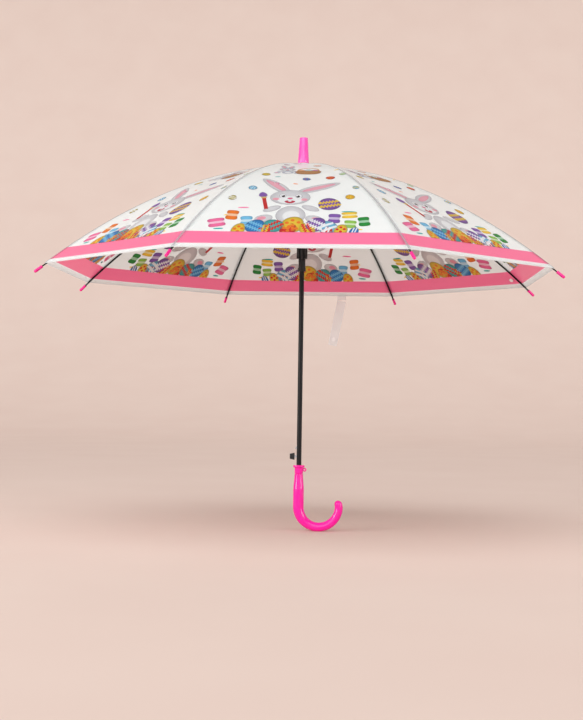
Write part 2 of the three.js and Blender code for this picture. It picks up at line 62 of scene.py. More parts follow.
camera = bpy.data.objects.new("camera", bpy.data.cameras.new("camera"))
bpy.context.collection.objects.link(camera)
camera.location = (EYE_DISTANCE * math.sin(EYE_TURN), -EYE_DISTANCE * math.cos(EYE_TURN), EYE_HEIGHT)
camera.rotation_euler = (math.pi / 2, -EYE_ROLL, EYE_TURN)
camera.data.sensor_fit = "VERTICAL"
camera.data.sensor_height = 36
camera.data.lens = 65
camera.data.shift_x = -0.0116
camera.data.shift_y = 0.0586
bpy.context.scene.camera = camera
bpy.context.scene.view_settings.view_transform = "Standard"


def linear(red, green, blue):
    """A colour given as 0 to 255 on a screen, as the linear numbers that a shader takes."""
    share = np.array([red, green, blue]) / 255
    return tuple(np.where(share <= 0.04045, share / 12.92, ((share + 0.055) / 1.055) ** 2.4)) + (1,)


def lamp(name, place, aim, size, power, colour=(1, 1, 1)):
    """A square soft lamp at place that faces aim."""
    made = bpy.data.objects.new(name, bpy.data.lights.new(name, "AREA"))
    bpy.context.collection.objects.link(made)
    made.location = place
    toward = np.array(place) - np.array(aim)
    turn = math.atan2(toward[0], -toward[1])
    tip = math.atan2(math.hypot(toward[0], toward[1]), toward[2])
    made.rotation_euler = (tip, 0, turn)
    made.data.size = size
    made.data.energy = power
    made.data.color = colour


lamp("left box", (-2.2, -1.5, 0.65), (0, 0, 0.2), 1.3, 34)
lamp("right box", (2.3, -1.2, 0.6), (0, 0, 0.2), 1.1, 20)

COOL_WHITE = (0.95, 0.985, 1.0)
for name, tip, turn, spread, strength in (
    ("ceiling light", 40, -14, 80, 2.0), ("front light", 86, 6, 50, 0.4),
):
    broad = bpy.data.objects.new(name, bpy.data.lights.new(name, "SUN"))
    bpy.context.collection.objects.link(broad)
    broad.rotation_euler = (math.radians(tip), 0, math.radians(turn))
    broad.data.angle = math.radians(spread)
    broad.data.energy = strength
    broad.data.color = COOL_WHITE

world = bpy.data.worlds.new("room")
bpy.context.scene.world = world
world.use_nodes = True
world.node_tree.nodes["Background"].inputs["Color"].default_value = linear(255, 252, 250)
world.node_tree.nodes["Background"].inputs["Strength"].default_value = 0.34

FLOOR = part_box("handle")[0][2]
FLOOR_REACH, WALL_PLACE, WALL_HEIGHT, COVE = 16.0, 12.0, 14.0, 7.0
cove = np.linspace(0, np.pi / 2, 33)
sweep_y = np.concatenate([[-FLOOR_REACH], WALL_PLACE - COVE + COVE * np.sin(cove), [WALL_PLACE]])
sweep_z = np.concatenate([[0], COVE - COVE * np.cos(cove), [WALL_HEIGHT]]) + FLOOR
sweep_x = np.array([[-FLOOR_REACH], [FLOOR_REACH]])
sweep_grid = np.stack([sweep_x + 0 * sweep_y, sweep_y + 0 * sweep_x, sweep_z + 0 * sweep_x], -1)
columns = len(sweep_y)
floor = bpy.data.objects.new("floor", bpy.data.meshes.new("floor"))
bpy.context.collection.objects.link(floor)
floor.data.from_pydata(
    sweep_grid.reshape(-1, 3), [], [(columns + c, columns + c + 1, c + 1, c) for c in range(columns - 1)])
floor.data.polygons.foreach_set("use_smooth", [True] * len(floor.data.polygons))


class Finish:
    """A node material, with short calls for the nodes that the finishes here share."""

    def __init__(self, name, **values):
        self.material = bpy.data.materials.new(name)
        self.material.use_nodes = True
        self.tree = self.material.node_tree
        self.shader = self.tree.nodes["Principled BSDF"]
        for socket, value in values.items():
            self.shader.inputs[socket.replace("_", " ")].default_value = value

    def node(self, kind, **values):
        """A node of the given kind, with its own properties and its unlinked sockets set."""
        made = self.tree.nodes.new(kind)
        for key, value in values.items():
            if hasattr(made, key):
                setattr(made, key, value)
            else:
                made.inputs[key.replace("_", " ")].default_value = value
        return made

    def link(self, source, target):
        """Joins an output socket to an input socket."""
        self.tree.links.new(source, target)

    def place(self, scale=(1, 1, 1)):
        """The piece's own coordinates in metres, each multiplied by scale."""
        source = self.node("ShaderNodeTexCoord")
        mapping = self.node("ShaderNodeMapping", Scale=scale)
        self.link(source.outputs["Object"], mapping.inputs["Vector"])
        return mapping.outputs["Vector"]

    def noise(self, scale, detail=2.0, stretch=(1, 1, 1)):
        """Smooth noise, 0 to 1, with scale in bumps per metre."""
        made = self.node("ShaderNodeTexNoise", Scale=scale, Detail=detail)
        self.link(self.place(stretch), made.inputs["Vector"])
        return made.outputs["Fac"]

    def ramp(self, source, *stops):
        """A colour ramp over stops of (position, colour)."""
        made = self.node("ShaderNodeValToRGB")
        elements = made.color_ramp.elements
        for i, (position, colour) in enumerate(stops):
            element = elements[i] if i < 2 else elements.new(position)
            element.position = position
            element.color = colour
        self.link(source, made.inputs["Fac"])
        return made.outputs["Color"]

    def spread(self, source, low, high):
        """The source, 0 to 1, spread from low to high."""
        made = self.node("ShaderNodeMapRange")
        made.inputs["To Min"].default_value = low
        made.inputs["To Max"].default_value = high
        self.link(source, made.inputs["Value"])
        return made.outputs["Result"]

    def glow(self, colour, share):
        """Lets light through from behind: the share of the surface that shows it as a paper shade does."""
        through = self.node("ShaderNodeBsdfTranslucent", Color=(1, 1, 1, 1))
        if isinstance(colour, tuple):
            through.inputs["Color"].default_value = colour
        else:
            self.link(colour, through.inputs["Color"])
        clear = self.node("ShaderNodeBsdfTransparent")
        faded = self.node("ShaderNodeMixShader")
        source = self.shader.inputs["Alpha"]
        if source.is_linked:
            self.link(source.links[0].from_socket, faded.inputs[0])
        else:
            faded.inputs[0].default_value = source.default_value
        self.link(clear.outputs[0], faded.inputs[1])
        self.link(through.outputs[0], faded.inputs[2])
        both = self.node("ShaderNodeMixShader")
        both.inputs[0].default_value = share
        self.link(self.shader.outputs[0], both.inputs[1])
        self.link(faded.outputs[0], both.inputs[2])
        self.link(both.outputs[0], self.tree.nodes["Material Output"].inputs["Surface"])

    def feed(self, socket, source):
        """Joins an output socket to the shader's input of that name."""
        self.link(source, self.shader.inputs[socket])

    def bump(self, source, height, strength=1.0):
        """Relief of the given height in metres."""
        made = self.node("ShaderNodeBump", Strength=strength, Distance=height)
        self.link(source, made.inputs["Height"])
        self.link(made.outputs["Normal"], self.shader.inputs["Normal"])


floor_finish = Finish("floor", Base_Color=linear(223, 201, 190), Roughness=0.95)
floor_finish.shader.inputs["Specular IOR Level"].default_value = 0.1
floor_finish.feed("Base Color", floor_finish.ramp(
    floor_finish.noise(3), (0.3, linear(222, 199, 188)), (0.7, linear(224, 202, 191))))
floor.data.materials.append(floor_finish.material)

# ---- Shaft ---------------------------------------------------------------------------------------
# A thin steel tube, enamelled black, with a slot each for the catch's nose and the button's link.
# It is the CAD tube with its facets smoothed, and a faint grain from drawing runs along it.

SMOOTH_BELOW = math.radians(32)


def smoothed(node, body, finish, bevel=0.0):
    """A copy of a CAD node with its loose triangles joined, its rounds smooth and its edges eased."""
    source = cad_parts[node]
    made = bpy.data.objects.new(f"{node}_fine", source.data.copy())
    bpy.context.collection.objects.link(made)
    made.data.transform(source.matrix_world)
    bpy.context.view_layer.objects.active = made
    shell = bmesh.new()
    shell.from_mesh(made.data)
    bmesh.ops.remove_doubles(shell, verts=shell.verts, dist=1e-6)
    bmesh.ops.dissolve_limit(shell, angle_limit=1e-3, verts=shell.verts, edges=shell.edges)
    shell.to_mesh(made.data)
    shell.free()
    made.data.polygons.foreach_set("use_smooth", [True] * len(made.data.polygons))
    made.data.set_sharp_from_angle(angle=SMOOTH_BELOW)
    if bevel:
        ease = made.modifiers.new("ease", "BEVEL")
        ease.width = bevel
        ease.segments = 2
        ease.limit_method = "ANGLE"
        ease.angle_limit = SMOOTH_BELOW
        ease.harden_normals = True
    made.data.materials.clear()
    made.data.materials.append(finish.material)
    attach(made, body)
    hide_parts(node)
    return made


black_enamel = Finish("black_enamel", Base_Color=linear(10, 9, 11), Roughness=0.3,
                      Coat_Weight=0.05, Coat_Roughness=0.1, Specular_IOR_Level=0.3)
black_enamel.feed("Roughness", black_enamel.spread(black_enamel.noise(900, 3, (1, 1, 0.03)), 0.24, 0.38))
black_enamel.bump(black_enamel.noise(2600, 2), 0.00001, 0.4)
smoothed("shaft", "root", black_enamel)

# ---- Crown ---------------------------------------------------------------------------------------
# The slotted top notch of black moulded plastic under the film. A steel cross pin holds it on the
# shaft, and the ribs turn on a wire ring that lies in its groove.

black_plastic = Finish("black_plastic", Base_Color=linear(14, 14, 15), Roughness=0.42)
black_plastic.feed("Roughness", black_plastic.spread(black_plastic.noise(420, 4), 0.34, 0.52))
black_plastic.bump(black_plastic.noise(3200, 3), 0.00002, 0.5)
drawn_steel = Finish("drawn_steel", Base_Color=linear(190, 190, 194), Metallic=1.0, Roughness=0.3)
drawn_steel.feed("Roughness", drawn_steel.spread(drawn_steel.noise(1500, 3), 0.2, 0.42))

smoothed("crown", "root", black_plastic)
for part in ("crown_wire", "crown_pin", "stop_pin"):
    smoothed(part, "root", drawn_steel)

# ---- Ferrule and washer --------------------------------------------------------------------------
# The spike on top is pink injection-moulded plastic, tapered to a flat end. It screws down on a
# clear plastic washer that spreads its load on the film.


def mesh_piece(name, points, faces, finish, closed=True, crease=SMOOTH_BELOW):
    """A piece from points and faces. Doubled points are merged, and a closed piece faces outwards."""
    made = bpy.data.objects.new(name, bpy.data.meshes.new(name))
    bpy.context.collection.objects.link(made)
    made.data.from_pydata(np.asarray(points, float).reshape(-1, 3), [], faces)
    if closed:
        shell = bmesh.new()
        shell.from_mesh(made.data)
        bmesh.ops.remove_doubles(shell, verts=shell.verts, dist=1e-7)
        bmesh.ops.recalc_face_normals(shell, faces=shell.faces)
        shell.to_mesh(made.data)
        shell.free()
    made.data.polygons.foreach_set("use_smooth", [True] * len(made.data.polygons))
    made.data.set_sharp_from_angle(angle=crease)
    made.data.materials.append(finish.material)
    return made


def grid_faces(rows, columns, wrap_rows=False, wrap_columns=False, caps=False):
    """Four-sided faces over a grid of points, row after row, with its edges joined or capped."""
    row = np.arange(rows if wrap_rows else rows - 1)
    column = np.arange(columns if wrap_columns else columns - 1)
    r, c = (side.ravel() for side in np.meshgrid(row, column, indexing="ij"))
    r2, c2 = (r + 1) % rows, (c + 1) % columns
    faces = np.stack([r * columns + c, r * columns + c2, r2 * columns + c2, r2 * columns + c], 1).tolist()
    if caps:
        faces += [list(range(columns))[::-1], list(range((rows - 1) * columns, rows * columns))]
    return faces


def eased(outline, radius, steps=4, closed=False):
    """An outline whose corners are rounded: each becomes a parabola that starts radius before it."""
    outline = np.asarray(outline, float)
    count = len(outline)
    made = [] if closed else [outline[0]]
    t = np.linspace(0, 1, steps + 1)[:, None]
    for i in range(0 if closed else 1, count if closed else count - 1):
        before, corner, after = outline[i - 1], outline[i], outline[(i + 1) % count]
        back, ahead = before - corner, after - corner
        start = corner + back * min(radius / np.linalg.norm(back), 0.45)
        end = corner + ahead * min(radius / np.linalg.norm(ahead), 0.45)
        made.extend((1 - t) ** 2 * start + 2 * t * (1 - t) * corner + t ** 2 * end)
    if not closed:
        made.append(outline[-1])
    return np.array(made)


def turned(profile, sides):
    """Grid points of a profile of (radius, height) turned round Z, one row for each of its points."""
    profile = np.asarray(profile, float)
    angle = np.linspace(0, 2 * np.pi, sides, endpoint=False)
    r, z = profile[:, :1], profile[:, 1:]
    return np.stack([r * np.cos(angle), r * np.sin(angle), z + 0 * angle], -1)


def lathe(name, profile, finish, sides=48, place=None, closed=False):
    """A turned piece. A closed profile is a ring, and an open one starts and ends on the axis."""
    points = turned(profile, sides)
    if place is not None:
        points = place(points)
    faces = grid_faces(len(profile), sides, wrap_rows=closed, wrap_columns=True)
    return mesh_piece(name, points, faces, finish)


def carried(piece, body, *nodes):
    """The piece rides on a body and stands for CAD nodes."""
    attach(piece, body)
    if nodes:
        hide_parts(*nodes)
    return piece


SHAFT_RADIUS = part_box("shaft")[1][0]
FIT = 0.0003
FERRULE_TIP, FERRULE_RIM, FERRULE_EASE = 0.0067, 0.0035, 0.0011
WASHER_RIM, WASHER_SHOULDER, WASHER_EASE = 0.0007, 0.0004, 0.0005
ferrule_low, ferrule_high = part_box("ferrule")
ferrule_base = ferrule_high[0]
ferrule_bore_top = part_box("shaft")[1][2] + FIT
ferrule_profile = eased([
    (0, ferrule_bore_top),
    (SHAFT_RADIUS + FIT, ferrule_bore_top),
    (SHAFT_RADIUS + FIT, ferrule_low[2]),
    (ferrule_base, ferrule_low[2]),
    (ferrule_base, ferrule_low[2] + FERRULE_RIM),
    (FERRULE_TIP, ferrule_high[2]),
    (0, ferrule_high[2]),
], FERRULE_EASE)
ferrule_pink = Finish("ferrule_pink", Base_Color=linear(255, 92, 184), Roughness=0.16,
                      Subsurface_Weight=0.25, Subsurface_Radius=(0.004, 0.0012, 0.002),
                      Subsurface_Scale=1.0, Coat_Weight=0.5, Coat_Roughness=0.06)
ferrule_pink.feed("Base Color", ferrule_pink.ramp(
    ferrule_pink.noise(60, 2), (0.3, linear(250, 80, 176)), (0.7, linear(255, 104, 192))))
ferrule_pink.bump(ferrule_pink.noise(900, 2), 0.00002, 0.25)
carried(lathe("ferrule_spike", ferrule_profile, ferrule_pink), "root", "ferrule")

washer_low, washer_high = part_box("top_washer")
washer_bore = SHAFT_RADIUS + FIT
washer_profile = eased([
    (washer_bore, washer_low[2]),
    (washer_high[0], washer_low[2]),
    (washer_high[0], washer_low[2] + WASHER_RIM),
    (ferrule_base + WASHER_SHOULDER, washer_high[2]),
    (washer_bore, washer_high[2]),
], WASHER_EASE, closed=True)
clear_plastic = Finish("clear_plastic", Base_Color=linear(240, 240, 238), Roughness=0.2, Alpha=0.85,
                       Coat_Weight=0.3, Coat_Roughness=0.1)
clear_plastic.feed("Roughness", clear_plastic.spread(clear_plastic.noise(300, 3), 0.14, 0.3))
washer = lathe("washer", washer_profile, clear_plastic, closed=True)
carried(washer, "root", "top_washer")

# ---- Film gores ----------------------------------------------------------------------------------
# The canopy is eight gores of milky see-through film, welded along the ribs. Each is curved along
# its ribs and nearly straight across. A pink band is printed above the hem, on the film itself.

GORES = 8
STEP = 2 * math.pi / GORES
FIRST_RIB = -math.pi / 2 - STEP / 2
TOP_SLOPE = 0.067
CANOPY_TOP = washer_low[2] - FIT
FILM_HOLE = 0.0068
RIM = -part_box("panel_1")[0][1]
CORNER = RIM / math.cos(STEP / 2)
RIM_FALL = CANOPY_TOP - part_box("panel_1")[0][2] - FIT
CURVATURE = (RIM_FALL - TOP_SLOPE * CORNER) / CORNER ** 2
FILM_DIP = 0.0022
FILM_THICK = 0.00022
EDGE_GAP = 0.00015
HEM_WIDTH = 0.009
BAND_WIDTH = 0.0305
HEM_COVER, BAND_COVER, FILM_COVER = 0.72, 0.92, 0.83
ACROSS, ALONG = 33, 81


def fall(radius):
    """How far the canopy lies below its centre at a radius along a rib: a parabola."""
    return TOP_SLOPE * radius + CURVATURE * radius ** 2


def film_point(across, out, lift=0.0):
    """A point of a gore in its own frame, X outwards and Y across, from its place across and out.

    The film falls as the ribs do and dips a little between them. Lift is along its outer normal.
    """
    radius = out / math.cos(STEP / 2)
    share = np.clip(across / (out * math.tan(STEP / 2)), -1, 1)
    slope = (TOP_SLOPE + 2 * CURVATURE * radius) / math.cos(STEP / 2)
    normal = 1 / np.sqrt(1 + slope ** 2)
    dip = FILM_DIP * (1 - share ** 2) * np.sin(np.pi * np.clip(out / RIM, 0, 1)) ** 0.8
    lift = lift - dip
    return np.stack([
        out + lift * slope * normal, across + 0 * out, CANOPY_TOP - fall(radius) + lift * normal], -1)


def round_shaft(points, steps):
    """Points of a frame whose X is outwards, turned round the shaft by steps from the first rib."""
    angle = FIRST_RIB + STEP * steps
    x, y, z = np.moveaxis(points, -1, 0)
    return np.stack([x * math.cos(angle) - y * math.sin(angle),
                     x * math.sin(angle) + y * math.cos(angle), z], -1)


def gore_frame(points, gore):
    """Points of a gore's own frame, in the middle of gore number 1 to 8."""
    return round_shaft(points, gore - 0.5)


def slant(out):
    """Length along the film from the rim up to a place out from the shaft, by Simpson's rule."""
    low = np.asarray(out, float)
    total = 0
    for weight, part in ((1, 0), (4, 0.25), (2, 0.5), (4, 0.75), (1, 1)):
        at = (low + (RIM - low) * part) / math.cos(STEP / 2)
        total = total + weight * np.sqrt(1 + ((TOP_SLOPE + 2 * CURVATURE * at) / math.cos(STEP / 2)) ** 2)
    return total * (RIM - low) / 12


def follow_film(piece):
    """The piece's placement is baked into its own points.
    """
    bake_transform(piece)


film = Finish("film", Roughness=0.28, Coat_Weight=0.25, Coat_Roughness=0.15, IOR=1.5)
film_map = film.node("ShaderNodeUVMap", uv_map="film")
film_split = film.node("ShaderNodeSeparateXYZ")
film.link(film_map.outputs["UV"], film_split.inputs["Vector"])
up_from_rim = film_split.outputs["Y"]
film_length = float(slant(FILM_HOLE))
hem_top = HEM_WIDTH / film_length
band_top = (HEM_WIDTH + BAND_WIDTH) / film_length
BAND_LINE = 0.0006 / film_length
milky, band_pink = linear(249, 254, 254), linear(255, 143, 186)
band_edge = linear(240, 110, 152)
film_colour = film.ramp(up_from_rim, (0, milky), (hem_top, band_edge), (hem_top + BAND_LINE, band_pink),
                        (band_top - BAND_LINE, band_edge), (band_top, milky))
film_clear = film.ramp(up_from_rim, (0, (HEM_COVER,) * 3 + (1,)), (hem_top, (BAND_COVER,) * 3 + (1,)),
                       (band_top, (FILM_COVER,) * 3 + (1,)))
for ramp_node in (n for n in film.tree.nodes if n.type == "VALTORGB"):
    ramp_node.color_ramp.interpolation = "CONSTANT"
film.feed("Base Color", film_colour)
film.feed("Alpha", film_clear)
film.glow(film_colour, 0.44)
film.bump(film.noise(14, 3), 0.0016, 0.35)

share_grid, radius_grid = np.meshgrid(np.linspace(0, 1, ACROSS), np.linspace(0, 1, ALONG))
out_grid = FILM_HOLE + (RIM - FILM_HOLE) * radius_grid
across_grid = (2 * share_grid - 1) * (out_grid * math.tan(STEP / 2) - EDGE_GAP)
gore_points = film_point(across_grid, out_grid)
gore_faces = [face[::-1] for face in grid_faces(ALONG, ACROSS)]
film_uv = np.stack([share_grid, slant(out_grid) / film_length], -1).reshape(-1, 2)

for k in range(1, GORES + 1):
    gore = mesh_piece(f"gore_{k}", gore_frame(gore_points, k), gore_faces, film, closed=False)
    layer = gore.data.uv_layers.new(name="film")
    loops = np.empty(len(gore.data.loops), np.int32)
    gore.data.loops.foreach_get("vertex_index", loops)
    layer.data.foreach_set("uv", film_uv[loops].astype(np.float32).ravel())
    follow_film(gore)
    wall = gore.modifiers.new("film thickness", "SOLIDIFY")
    wall.thickness = FILM_THICK
    wall.offset = -1
    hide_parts(f"panel_{k}")

# ---- Print ---------------------------------------------------------------------------------------
# Every gore has the same screen-printed picture: a plain rabbit that paints eggs, and a smaller one
# with a basket. It is flat ink in sharp-edged shapes, and shows on both sides of the film.

INK_LIFT = 0.00006
edge_try = np.linspace(RIM - 0.05, RIM, 501)
BAND_EDGE = float(np.interp(-(HEM_WIDTH + BAND_WIDTH), -slant(edge_try), edge_try))
INK_STEP = 0.00003
DARK = (176, 168, 178)


class Ink:
    """Flat shapes of ink on a gore. Places and sizes are in mm: across the gore, and out from the shaft."""

    def __init__(self):
        self.points, self.layers, self.colours, self.faces = [], [], [], []
        self.count = 0

    def grid(self, x, out, colour, layer, edge=None, cap=False, wrap=True):
        """A grid of points of one colour, or one that turns to the edge colour at the last row."""
        rows, columns = x.shape
        faces = grid_faces(rows, columns, wrap_columns=wrap)
        if cap:
            faces.append(list(range(columns))[::-1])
        self.faces += [[self.count + i for i in face] for face in faces]
        blend = np.linspace(0, 1, rows)[:, None, None] ** 3
        first = np.array(linear(*colour))
        last = np.array(linear(*(edge or colour)))
        out = np.minimum(out, BAND_EDGE * 1000)
        colours = (1 - blend) * first + blend * last + np.zeros((rows, columns, 1))
        self.colours.append(colours.reshape(-1, 4))
        self.points.append(np.stack([x, out], -1).reshape(-1, 2))
        self.layers.append(np.full(rows * columns, float(layer)))
        self.count += rows * columns

    def blob(self, x, out, wide, high, colour, layer=0, turn=0.0, taper=0.0, power=2.0, rim=0.0, edge=None):
        """A round shape. Taper narrows its top, power squares it, and rim draws a dark line round it."""
        if rim:
            self.blob(x, out, wide + 2 * rim, high + 2 * rim, DARK, layer, turn, taper, power)
            layer += 1
        ring = np.array([0.04, 0.4, 0.75, 1.0])[:, None]
        angle = np.linspace(0, 2 * np.pi, 28 if max(wide, high) > 9 else 14, endpoint=False)
        up = np.sign(np.sin(angle)) * np.abs(np.sin(angle)) ** (2 / power)
        side = np.sign(np.cos(angle)) * np.abs(np.cos(angle)) ** (2 / power) * (1 - taper * up)
        dx, dy = ring * side * wide / 2, ring * up * high / 2
        c, s = math.cos(math.radians(turn)), math.sin(math.radians(turn))
        self.grid(x + dx * c - dy * s, out - dx * s - dy * c, colour, layer, edge, cap=True)

    def line(self, x, out, width, colour, layer):
        """A line of even width through the points."""
        path = np.stack([np.asarray(x, float), np.asarray(out, float)], -1)
        along = np.gradient(path, axis=0)
        along /= np.linalg.norm(along, axis=1)[:, None]
        side = np.array([-0.5, 0.5])[:, None] * width
        across, down = path[:, 0] - side * along[:, 1], path[:, 1] + side * along[:, 0]
        self.grid(across, down, colour, layer, wrap=False)

    def egg(self, x, out, wide, high, colour, second, marks, layer=0, turn=0.0):
        """A painted egg: a tapered round with bands, a zigzag or dots in its second colour."""
        darker = tuple(int(c * 0.8) for c in colour)
        self.blob(x, out, wide, high, colour, layer, turn, 0.12, rim=0.5, edge=darker)
        c, s = math.cos(math.radians(turn)), math.sin(math.radians(turn))
        u = np.linspace(-1, 1, 13)
        if marks == "dots":
            for du, dv in ((-0.5, 0.3), (0.1, 0.55), (0.5, 0.1), (-0.15, -0.05), (-0.5, -0.45), (0.3, -0.5)):
                dx, dy = du * wide / 2, dv * high / 2
                self.blob(x + dx * c - dy * s, out - dx * s - dy * c, wide / 6, wide / 6, second, layer + 2)
            return
        for v in (-0.34, 0.28):
            wave = 0.13 * np.where(np.arange(13) % 2, 1, -1) if marks == "zigzag" else 0.06 * (1 - u ** 2)
            half = math.sqrt(1 - v * v) * (1 - 0.12 * v) * 0.94
            dx, dy = u * half * wide / 2, (v + wave) * high / 2
            self.line(x + dx * c - dy * s, out - dx * s - dy * c, high / 6.5, second, layer + 2)

    def biscuit(self, x, out, wide, high, colour, turn=0.0):
        """A round sandwich biscuit from the side: two domed shells on a pale filling."""
        c, s = math.cos(math.radians(turn)), math.sin(math.radians(turn))
        darker = tuple(int(v * 0.82) for v in colour)
        paler = tuple(int(255 - (255 - v) * 0.35) for v in colour)
        shells_and_filling = ((0.28, 0.42, colour, 0), (-0.28, 0.42, colour, 0), (0, 0.26, paler, 2))
        for dy, share, fill, layer in shells_and_filling:
            dy *= high
            self.blob(x - dy * s, out - dy * c, wide * (0.94 if layer else 1), high * share, fill,
                      layer, turn, power=3.2, edge=None if layer else darker)

    def rabbit(self, x, out, size, fur, ears):
        """A plain rabbit seen from the front, from its head's middle. Ears gives each tip and base."""
        shade = tuple(int(c * 0.92) for c in fur)
        for k, (tx, ty, bx, by) in enumerate(ears):
            mx, my = x + size * (tx + bx) / 2, out + size * (ty + by) / 2
            long = size * (math.hypot(tx - bx, ty - by) + 8)
            turn = math.degrees(math.atan2(bx - tx, by - ty))
            self.blob(mx, my, size * 19, long, fur, k, turn, 0.1, rim=0.6 * size, edge=shade)
            self.blob(mx, my, size * 10, long * 0.8, (250, 186, 200), k + 2, turn, 0.1,
                      edge=(240, 160, 182))
        parts = (
            (3, 48, 40, 42, fur, 0, 0, 0.12, 0.6), (-24, 34, 26, 11, fur, 1, 30, 0, 0.6),
            (30, 32, 26, 11, fur, 1, -28, 0, 0.6), (4, 52, 24, 26, (252, 252, 252), 2, 0, 0, 0),
            (-34, 58, 24, 15, fur, 2, 18, 0, 0.6), (36, 59, 24, 15, fur, 2, -18, 0, 0.6),
            (-37, 58, 13, 8, (250, 172, 190), 4, 18, 0, 0), (39, 59, 13, 8, (250, 172, 190), 4, -18, 0, 0),
            (0, 0, 56, 44, fur, 4, 0, 0.08, 0.6), (0, 9, 36, 22, (252, 252, 252), 6, 0, 0, 0),
            (-20, 7, 10, 7, (250, 176, 190), 6, 0, 0, 0), (20, 8, 10, 7, (250, 176, 190), 6, 0, 0, 0),
            (-11, -3, 9, 12, (255, 255, 255), 6, 0, 0, 0.5), (12, -2, 9, 12, (255, 255, 255), 6, 0, 0, 0.5),
            (-10, -2, 5, 7, (52, 40, 46), 8, 0, 0, 0), (11, -1, 5, 7, (52, 40, 46), 8, 0, 0, 0),
            (-11, -4, 1.8, 2.2, (255, 255, 255), 9, 0, 0, 0),
            (10, -3, 1.8, 2.2, (255, 255, 255), 9, 0, 0, 0),
            (0, 5, 7, 5, (240, 110, 150), 7, 0, -0.3, 0.3), (0, 15, 14, 8, (214, 60, 84), 7, 0, -0.25, 0.4),
            (0, 12.4, 5, 4.5, (255, 255, 255), 9, 0, 0, 0.2),
        )
        for dx, dy, wide, high, colour, layer, turn, taper, rim in parts:
            edge = shade if colour == fur else None
            self.blob(x + size * dx, out + size * dy, size * wide, size * high, colour, layer, turn, taper,
                      rim=size * rim, edge=edge)


PURPLE, YELLOW, TEAL, RED = (146, 98, 188), (252, 214, 62), (72, 188, 184), (232, 44, 34)
ORANGE, BLUE, GREEN, LIME = (246, 134, 34), (48, 142, 214), (34, 156, 62), (160, 210, 92)
ROSE, SKY, OLIVE = (250, 122, 176), (128, 204, 238), (206, 190, 70)
GREY, BLUEGREY, TAN, WHITE = (236, 235, 237), (208, 213, 226), (214, 156, 92), (255, 255, 255)

ink = Ink()
for x, out, wide, high, colour, second, marks, turn in (
    (-7, 66, 12, 14, BLUE, RED, "bands", -12), (26, 108, 12, 14, ORANGE, WHITE, "bands", 20),
    (-48, 178, 12, 14, OLIVE, YELLOW, "zigzag", -20), (13, 199, 11, 13, BLUE, RED, "dots", 30),
    (48, 194, 14, 13, RED, ORANGE, "bands", 64), (-63, 238, 12, 14, SKY, WHITE, "dots", 10),
    (-22, 96, 8, 10, PURPLE, YELLOW, "dots", 25), (66, 176, 9, 11, LIME, WHITE, "bands", -20),
    (78, 267, 13, 14, YELLOW, ORANGE, "dots", 15), (-89, 272, 11, 13, OLIVE, WHITE, "zigzag", -18),
    (-30, 220, 9, 10, ROSE, WHITE, "dots", 0), (86, 236, 9, 11, SKY, YELLOW, "bands", 24),
):
    ink.egg(x, out, wide, high, colour, second, marks, turn=turn)
ink.rabbit(-18, 142, 0.42, BLUEGREY, ((-20, -66, -9, -20), (16, -66, 9, -20)))
ink.blob(14, 163, 38, 22, TAN, 3, 0, -0.12, 3, rim=0.5, edge=(184, 124, 66))
for row in (157, 163, 169):
    ink.line(np.linspace(-3, 31, 9), row + np.array([0, 1.2] * 4 + [0]), 1.4, (168, 108, 56), 5)
arch = np.linspace(0, np.pi, 15)
ink.line(14 - 16 * np.cos(arch), 153 - 21 * np.sin(arch), 2.4, TAN, 2)
for x, out, colour, second in ((4, 152, YELLOW, RED), (14, 149, TEAL, WHITE), (24, 152, ROSE, PURPLE)):
    ink.egg(x, out, 10, 12, colour, second, "bands", layer=1)
for x, out, wide, colour, turn in (
    (-71, 299, 16, ROSE, 4), (77, 308, 21, TEAL, -3), (-101, 349, 14, TEAL, 4), (87, 348, 19, YELLOW, -4),
    (-30, 189, 9, TEAL, 10), (-2, 220, 8, ORANGE, -14), (56, 150, 8, YELLOW, 30), (-92, 318, 9, YELLOW, 8),
):
    ink.blob(x, out, wide, 3, colour, 0, turn)
for x, out, wide, high, colour, turn in (
    (-85, 318, 17, 23, ORANGE, -6), (-64, 331, 17, 22, SKY, 4), (-105, 336, 24, 19, ROSE, 14),
    (57, 324, 17, 22, PURPLE, -3), (78, 316, 22, 15, YELLOW, 5), (98, 331, 16, 21, GREEN, 8),
    (79, 337, 17, 17, LIME, -5),
):
    ink.biscuit(x, out, wide, high, colour, turn)
ink.rabbit(-7, 267, 1.0, GREY, ((-40, -63, -6, -16), (66, -47, 14, -17)))
ink.line([-45, -39], [268, 302], 5.5, (206, 42, 40), 8)
ink.blob(-46.5, 261, 11, 15, PURPLE, 9, 10, 0.3, rim=0.5)
ink.blob(-44.6, 270, 8, 5, (226, 196, 120), 10, 10, power=4)
ink.egg(49, 287, 31, 33, PURPLE, YELLOW, "zigzag", layer=3, turn=14)
for x, out, wide, high, colour, second, marks, turn in (
    (-74, 352, 30, 18, YELLOW, ORANGE, "dots", 76), (-51, 343, 26, 30, BLUE, SKY, "zigzag", -28),
    (-27, 342, 30, 28, TEAL, RED, "zigzag", 36), (32, 338, 26, 32, PURPLE, WHITE, "zigzag", -30),
    (0, 338, 34, 30, YELLOW, ORANGE, "dots", 82), (48, 344, 26, 28, SKY, WHITE, "bands", 30),
    (66, 351, 26, 18, YELLOW, RED, "dots", 78), (-38, 352, 26, 17, RED, YELLOW, "zigzag", 80),
    (-6, 350, 30, 22, RED, ORANGE, "dots", 70), (21, 349, 28, 22, YELLOW, RED, "zigzag", -70),
    (47, 354, 24, 16, RED, WHITE, "bands", 78), (84, 354, 20, 12, BLUE, WHITE, "bands", 74),
):
    ink.egg(x, out, wide, high, colour, second, marks, layer=8, turn=turn)

